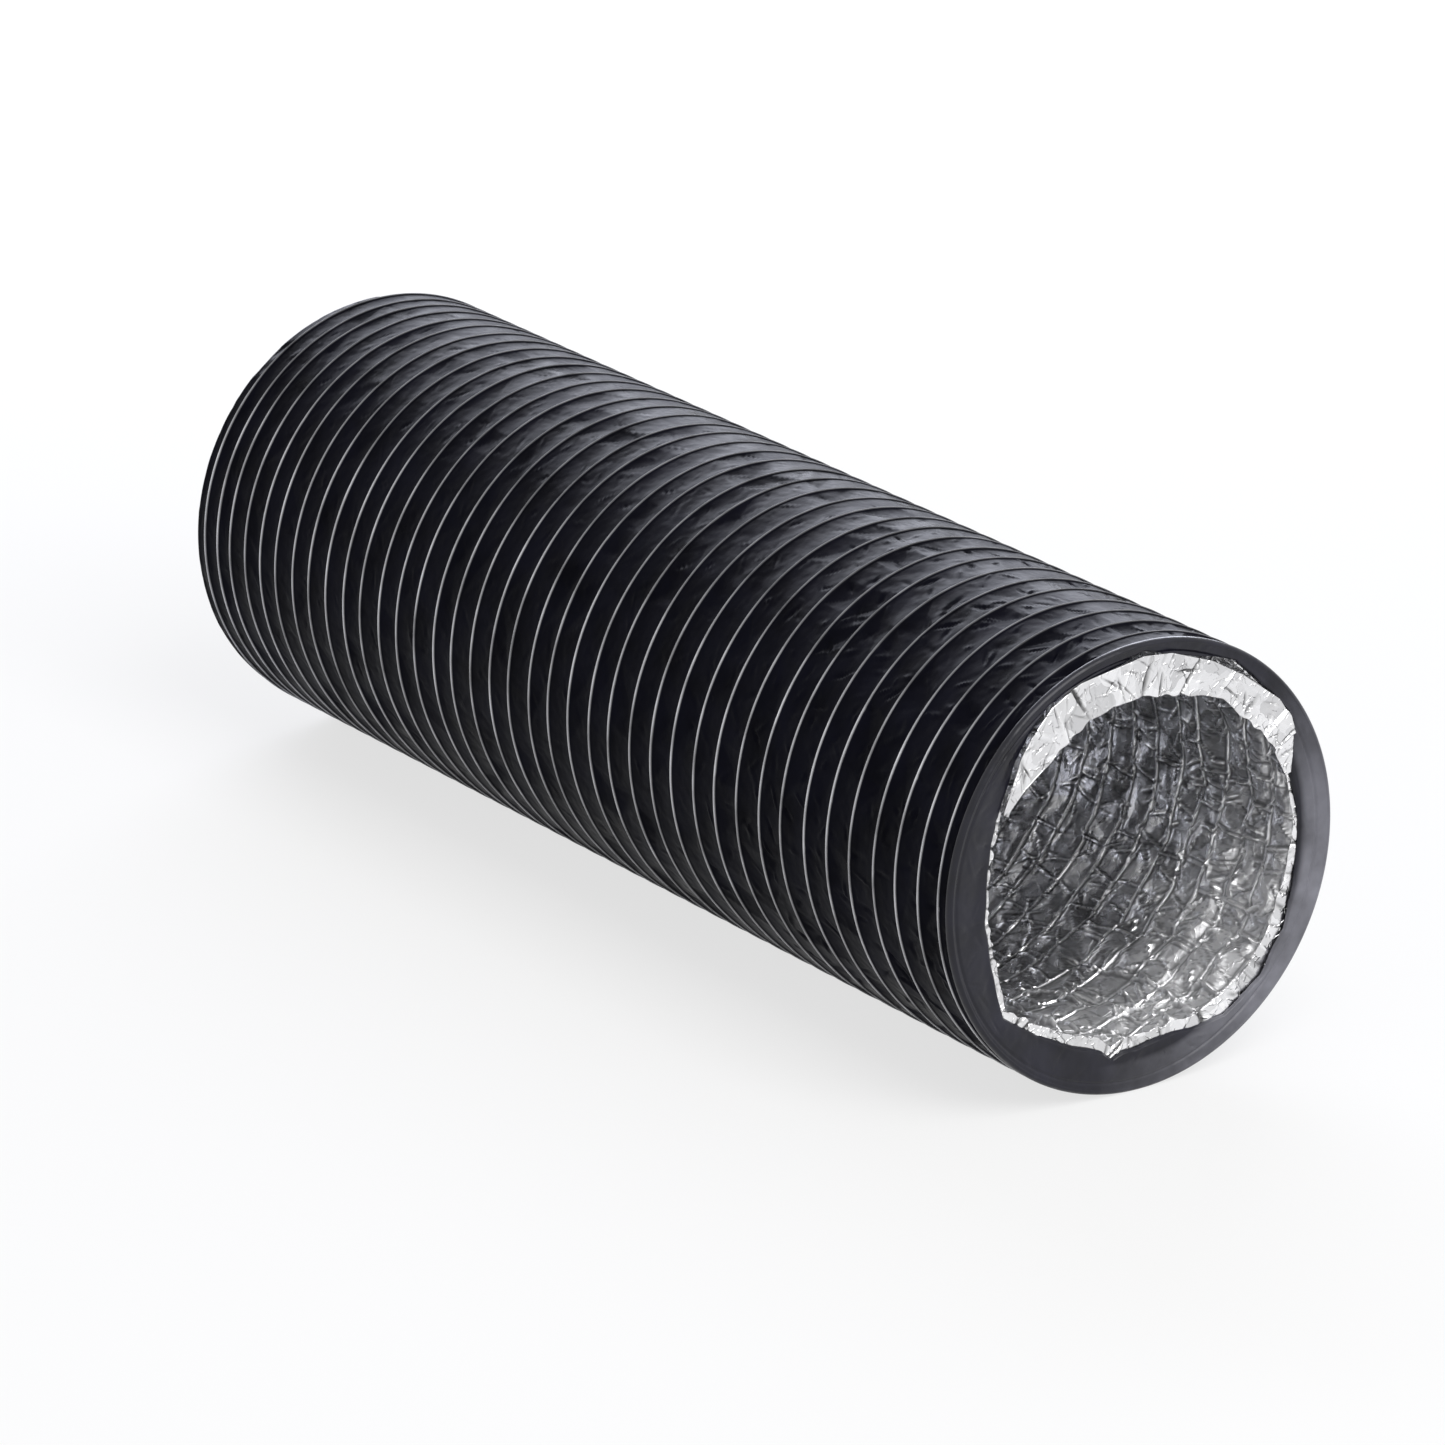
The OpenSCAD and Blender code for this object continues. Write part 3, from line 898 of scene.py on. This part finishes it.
# The face: how far it lies behind the open end, dips inside the crease, slopes, and rolls in at its edge
FACE_INSET = 0.0004
DIP_WIDTH = 0.010
DIP_DEPTH = 0.0008
FACE_SLOPE = 0.0006
HEM_ROLL = 0.0012
HEM_WAVE = 0.00025
WAVE_DEPTHS = (0.00035, 0.00025)
# Tucks and finer wrinkles, with bounds like the lining's folds
TUCK_SEED = 61
WRINKLE_SEED = 62
TUCKS = (24, (0.006, 0.016), (-0.9, 0.9), (0.004, 0.010), (0.0010, 0.0026), (-0.0008, 0.0008))
WRINKLES = (80, (0.002, 0.016), (-1.5, 1.5), (0.003, 0.008), (0.0008, 0.0016), (-0.0004, 0.0004))
# A pale painted sheen on the hem's face: its middle, strength, fall and inner radius
PAINTED_SHEEN_CENTRE = -30
PAINTED_SHEEN_SHARE = 0.49
PAINTED_SHEEN_POWER = 1.2
PAINTED_SHEEN_INNER_R = 0.066
PAINTED_SHEEN_FADE = 0.004
# Inner edge of the hem, as (degrees from the far side up and round, radius in millimetres)
HEM_EDGE = ((0, 66.8), (9, 66.2), (19, 65.4), (27, 69.0), (35, 74.4), (60, 75.4), (90, 75.6), (121, 76.0),
            (130, 73.0), (138, 70.0), (148, 66.2), (156, 64.2), (170, 63.2), (187, 63.3), (202, 64.4),
            (211, 66.8), (217, 69.4), (222, 67.0), (231, 65.4), (241, 64.2), (257, 64.4), (261, 67.2),
            (265, 64.8), (275, 63.8), (284, 64.2), (290, 66.6), (301, 71.0), (316, 71.6), (330, 70.0),
            (349, 67.3), (360, 66.8))


def straight_edge(corners, angle):
    """Radius at an angle of a closed outline with straight sides: on the side between corners a and b it is
    ra rb sin(b - a) / (ra sin(t - a) + rb sin(b - t))."""
    at, r = np.radians([c[0] for c in corners]), np.array([c[1] for c in corners]) / 1000
    angle = angle % (2 * np.pi)
    i = np.clip(np.searchsorted(at, angle, side="right") - 1, 0, len(at) - 2)
    a, b, ra, rb = at[i], at[i + 1], r[i], r[i + 1]
    return ra * rb * np.sin(b - a) / (ra * np.sin(angle - a) + rb * np.sin(b - angle))


angle = angle_row(HEM_COLUMNS)
hem_edge_r = straight_edge(HEM_EDGE, angle) + HEM_WAVE * np.sin(23 * angle) * np.sin(7 * angle)
rim_turn = np.linspace(-0.15, 1, RIM_RINGS)[:, None] * np.pi / 2
rim_x = FRONT_X - RIM_MIDDLE[0] + RIM_BEND[0] * np.sin(rim_turn) + 0 * angle
rim_r = CREST_R - RIM_MIDDLE[1] + RIM_BEND[1] * np.cos(rim_turn) + 0 * angle
face_share = np.linspace(0.02, 1, FACE_RINGS)[:, None]
face_r = rim_r[-1] + (hem_edge_r - rim_r[-1]) * face_share
crease_r = CREASE_R + CREASE_STRAY * np.cos(angle - np.pi)
crease = np.exp(-((face_r - crease_r) / CREASE_HALF_WIDTH) ** 2)
dip = ease((crease_r - face_r) / DIP_WIDTH)
waves = (WAVE_DEPTHS[0] * np.sin(5 * angle + 1)
         + WAVE_DEPTHS[1] * np.sin(11 * angle + 9 * face_share) * face_share)
edge_roll = HEM_ROLL * ease((face_share - 0.92) / 0.08)
laid, v = angle / (2 * np.pi) + 0 * face_r, CREST_R - face_r
tucks = folds(laid, v, TUCK_SEED, *TUCKS) * ease((crease_r - face_r) / 0.002)
tucks += folds(laid, v, WRINKLE_SEED, *WRINKLES) * ease(face_share / 0.15)
face_x = (FRONT_X - FACE_INSET - CREASE_DEPTH * crease - DIP_DEPTH * dip - face_share * (FACE_SLOPE + waves)
          - edge_roll + tucks)
hem_x, hem_r = np.concatenate([rim_x, face_x]), np.concatenate([rim_r, face_r])
# A painted sheen on the hem, pale round one angle and fading towards its inner edge, drawn in through the
# highlight attribute; the hem film's second colour is the colour of that sheen
hem_painted_sheen = np.clip(np.cos(angle - np.radians(PAINTED_SHEEN_CENTRE)), 0, 1) ** PAINTED_SHEEN_POWER
hem_painted_sheen = hem_painted_sheen * ease((hem_r - PAINTED_SHEEN_INNER_R) / PAINTED_SHEEN_FADE)
hem_film = film_material("hem_film", (0.008, 0.008, 0.015, 1), (0.33, 0.33, 0.37, 1), 0.36)
hem = ring_piece("front_hem", hem_x, hem_r, angle, HEM_WALL, hem_film, marks={"painted_highlight": PAINTED_SHEEN_SHARE * hem_painted_sheen})
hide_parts("front_film_hem")
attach(hem, "section_13")

# ------------ foil edge
# The cut end of the lining, of the same aluminium laminate, is drawn in behind the hem, which holds it, and
# peeks out inside the hem as a bright torn strip.
EDGE_COLUMNS = 720
EDGE_RINGS = 40
EDGE_WALL = 0.0003
EDGE_BACK_R = 0.0755
# The strip runs inwards behind the hem over this share of its width, then back to the lining
LIP_SHARE = 0.35
EDGE_BEHIND_HEM = 0.003
EDGE_OUTER_R = 0.0754
EDGE_INSET = 0.0030
EDGE_DEPTH = 0.0130
# How deep the torn edge's teeth are, and by how much its crumples sink it
TEETH = 0.0005
EDGE_SINK = 0.0004
# Layers of crumples by their seeds, with bounds like the lining's folds, their share in the tone as painted
# highlight on raised crumples and painted shade in sunk ones, and the turn of the ribbon whose places they
# use
EDGE_CRUMPLES = {
    31: (70, (0, 0.006), (-0.5, 0.5), (0.004, 0.010), (0.0006, 0.0014), (-0.0014, 0.0008)),
    33: (110, (0, 0.008), (-1.4, 1.4), (0.002, 0.006), (0.0004, 0.0009), (-0.0009, 0.0005)),
}
EDGE_PAINTED_LIGHT_SHARE = 800
EDGE_TURN = 5
# How far the strip shows inside the hem, as (degrees, millimetres)
EDGE_SHOWS = ((0, 1.6), (30, 1.0), (60, 0.5), (120, 0.5), (145, 1.2), (180, 1.6), (217, 2.6), (240, 3.2),
              (262, 4.2), (280, 3.0), (292, 4.0), (302, 6.4), (316, 5.2), (332, 4.8), (349, 3.0), (360, 1.6))

angle = angle_row(EDGE_COLUMNS)
show_at, show_by = np.array(EDGE_SHOWS).T
shows = np.interp(np.degrees(angle), show_at, show_by) / 1000
shows = shows + TEETH * np.sin(41 * angle + 2 * np.sin(13 * angle)) * np.sin(6 * angle)
lip_r = straight_edge(HEM_EDGE, angle) - shows
share = np.linspace(0, 1, EDGE_RINGS)[:, None]
lip = np.clip(share / LIP_SHARE, 0, 1)
back = np.clip((share - LIP_SHARE) / (1 - LIP_SHARE), 0, 1)
arch = np.sin(np.pi * share)
outer_r = np.minimum(lip_r + shows + EDGE_BEHIND_HEM, EDGE_OUTER_R)
laid, v = angle / (2 * np.pi) + EDGE_TURN + 0 * share, (EDGE_BACK_R - lip_r) * share
crumple = sum(folds(laid, v, seed, *layer) for seed, layer in EDGE_CRUMPLES.items())
edge_x = FRONT_X - EDGE_INSET - EDGE_DEPTH * back ** 1.3 + (crumple - EDGE_SINK) * arch
edge_r = np.where(share <= LIP_SHARE, outer_r + (lip_r - outer_r) * lip,
                  lip_r + (EDGE_BACK_R - lip_r) * ease(back) ** 0.8)
edge_r = edge_r - crumple * 0.5 * arch
bright_foil = foil_material("bright_foil", 0.10, 0.80, 0.99, (0.16, 0.30), 1.0,
                            ((95, 0.24, 0.0002), (210, 0.16, 0.0002)))
# Painted highlight where the crumples stand out towards the open end, painted shade where they sink
edge_painted_light = np.clip(0.5 + EDGE_PAINTED_LIGHT_SHARE * crumple, 0, 1)
foil_edge = ring_piece("foil_edge_strip", edge_x, edge_r, angle, EDGE_WALL, bright_foil,
                       marks={"crest": edge_painted_light})
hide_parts("front_foil_edge")
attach(foil_edge, "section_13")

# ------------ foil flap
# At the top the lining is pulled out through the mouth and folded flat against the hem. It is creased all
# over, with its right end folded back on itself as a small tab.
FLAP_COLUMNS = 600
FLAP_RINGS = 52
FLAP_WALL = 0.0003
FLAP_WIDTH = 0.014
# Degrees between which the flap lies, and its outer and inner edges, as (degrees, radius in millimetres)
FLAP_SPAN = (19, 152)
FLAP_OUTER = ((0, 66), (19, 65.0), (30, 71.4), (35, 73.2), (41, 73.8), (56, 72.2), (68, 72.8), (82, 74.4),
              (91, 74.8), (111, 75.5), (121, 75.1), (130, 72.6), (136, 70.8), (144, 67.4), (152, 65.2),
              (360, 66))
FLAP_INNER = ((0, 64), (19, 63.2), (30, 61.6), (38, 61.5), (59, 61.7), (70, 60.4), (81, 59.8), (91, 60.5),
              (103, 61.4), (113, 61.0), (123, 60.1), (133, 60.2), (143, 61.9), (152, 63.4), (360, 64))
# Degrees over which the flap settles on the hem at its two ends, and between which its tab lies
FLAP_ENDS = (6, 8)
TAB_SPAN = (29, 37.5)
TAB_HEIGHT = 0.0012
# The flap lies flat over this share of its width and curls back into the mouth over the rest
FLAT_SHARE = 0.8
FLAP_INSET = 0.0004
FLAP_LIFT = 0.0006
CURL_DEPTH = 0.0040
CURL_WIDTH = 0.0022
FLAP_WAVE = 0.0004
# Layers of pleats, described like the edge's crumples
PLEATS = {
    41: (60, (0.002, 0.012), (-0.6, 0.6), (0.008, 0.016), (0.0008, 0.0018), (-0.0016, 0.0012)),
    42: (130, (0, FLAP_WIDTH), (-1.5, 1.5), (0.003, 0.008), (0.0004, 0.0009), (-0.0012, 0.0006)),
    43: (200, (0, FLAP_WIDTH), (-1.5, 1.5), (0.002, 0.007), (0.0003, 0.0007), (-0.0011, 0.0006)),
}
# Share of the pleats' height in the tone: painted highlight on raised pleats, painted shade on sunk ones
PLEAT_PAINTED_LIGHT_SHARE = 550
FLAP_TURN = 9

degrees = np.linspace(*FLAP_SPAN, FLAP_COLUMNS)[None, :]
angle = np.radians(degrees)
outer_r, inner_r = straight_edge(FLAP_OUTER, angle), straight_edge(FLAP_INNER, angle)
inner_r = inner_r + FLAP_WAVE * np.sin(31 * angle + 3 * np.sin(9 * angle))
share = np.linspace(0, 1, FLAP_RINGS)[:, None]
flat = np.clip(share / FLAT_SHARE, 0, 1)
curl = np.clip((share - FLAT_SHARE) / (1 - FLAT_SHARE), 0, 1)
ends = ease((degrees - FLAP_SPAN[0]) / FLAP_ENDS[0]) * ease((FLAP_SPAN[1] - degrees) / FLAP_ENDS[1])
laid, v = angle / (2 * np.pi) + FLAP_TURN + 0 * flat, FLAP_WIDTH * flat + 0 * angle
pleats = sum(folds(laid, v, seed, *layer) for seed, layer in PLEATS.items())
tab = TAB_HEIGHT * ease(degrees - TAB_SPAN[0]) * ease(TAB_SPAN[1] - degrees)
lift = (FLAP_LIFT + pleats * (0.4 + 0.6 * np.sin(np.pi * flat)) + tab) * ends
flap_x = FRONT_X - FLAP_INSET + lift - CURL_DEPTH * curl ** 1.5
flap_r = outer_r + (inner_r - outer_r) * flat + CURL_WIDTH * curl * ends
# Painted highlight and shade from the pleats' height
flap_painted_light = np.clip(0.5 + PLEAT_PAINTED_LIGHT_SHARE * pleats, 0, 1)
flap = ring_piece("foil_flap", flap_x, flap_r, angle, FLAP_WALL, bright_foil, around=False,
                  marks={"crest": flap_painted_light})
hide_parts("front_foil_flap")
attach(flap, "section_13")
